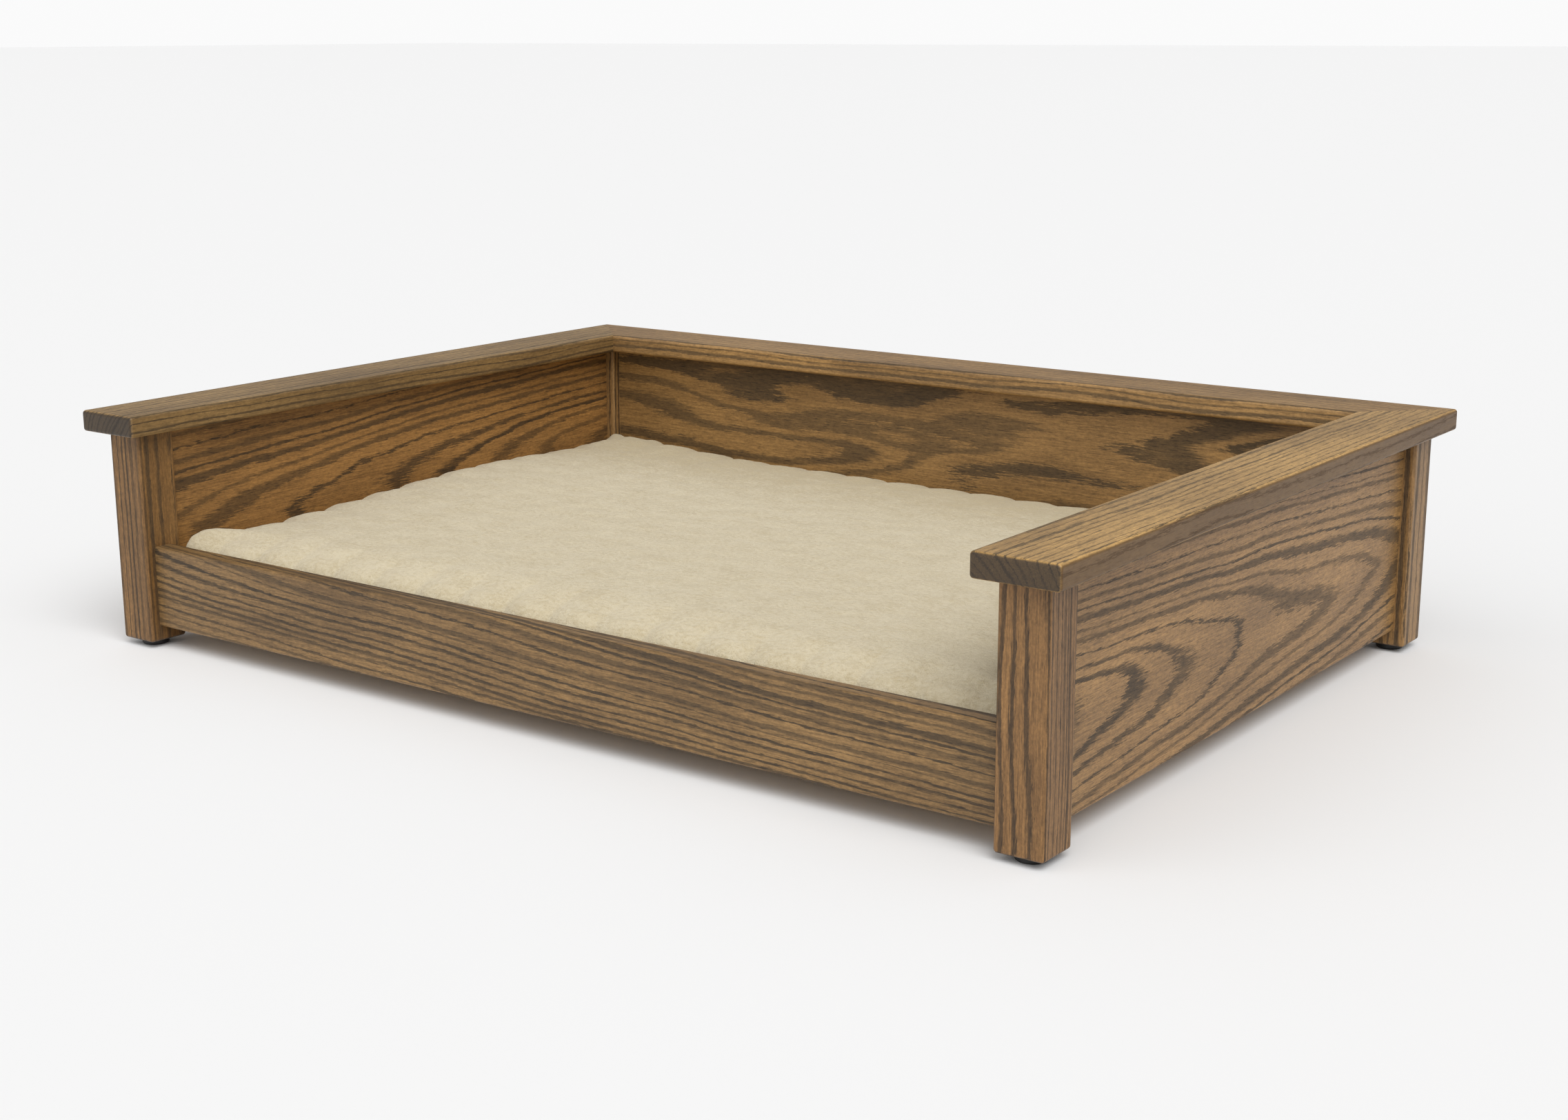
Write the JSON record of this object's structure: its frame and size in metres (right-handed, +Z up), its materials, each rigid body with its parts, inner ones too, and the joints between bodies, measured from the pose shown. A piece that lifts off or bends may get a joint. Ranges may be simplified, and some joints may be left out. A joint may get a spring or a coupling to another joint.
{
  "type": "dog bed with frame",
  "caption": "Low wooden pet bed: posts on glides, low front rail, tall side and back panels, flat mitred cap and a lift-out fleece mat.",
  "frame": {"origin": "on the floor, at the centre of the overall rectangle", "axes": "+X to the right along the length, +Y from the low front to the tall back, +Z up"},
  "size_m": [1, 0.72, 0.218],
  "materials": {
    "oak": "stained mid-brown oak, satin lacquer",
    "beech": "unfinished beech",
    "pine": "unfinished softwood",
    "plywood": "sanded, unfinished",
    "glide_plastic": "black moulded plastic",
    "nail_steel": "bright nail",
    "screw_steel": "yellow zinc",
    "fleece": "cream pile fleece",
    "base_cloth": "plain woven cloth",
    "fibre_fill": "loose polyester fibre"
  },
  "bodies": {
    "frame": {"front_left_post": "oak", "front_right_post": "oak", "back_left_post": "oak", "back_right_post": "oak", "left_side_panel": "oak", "right_side_panel": "oak", "back_panel": "oak", "front_rail": "oak", "left_cap": "oak", "right_cap": "oak", "back_cap": "oak", "cap_dowels": "beech", "mitre_biscuits": "beech", "front_left_glide": "glide_plastic", "front_right_glide": "glide_plastic", "back_left_glide": "glide_plastic", "back_right_glide": "glide_plastic", "glide_nails": "nail_steel", "front_cleat": "pine", "back_cleat": "pine", "left_cleat": "pine", "right_cleat": "pine", "deck_panel": "plywood", "cleat_screws": "screw_steel", "deck_screws": "screw_steel"},
    "mat": {"mat_fleece_top": "fleece", "mat_filling": "fibre_fill", "mat_base_cloth": "base_cloth"}
  },
  "joints": [
    {"name": "mat_lift", "type": "slide", "parent": "frame", "child": "mat", "axis": [0, 0, 1], "range_m": [0, 0.25], "deforming": ["mat_fleece_top", "mat_filling", "mat_base_cloth"]}
  ]
}
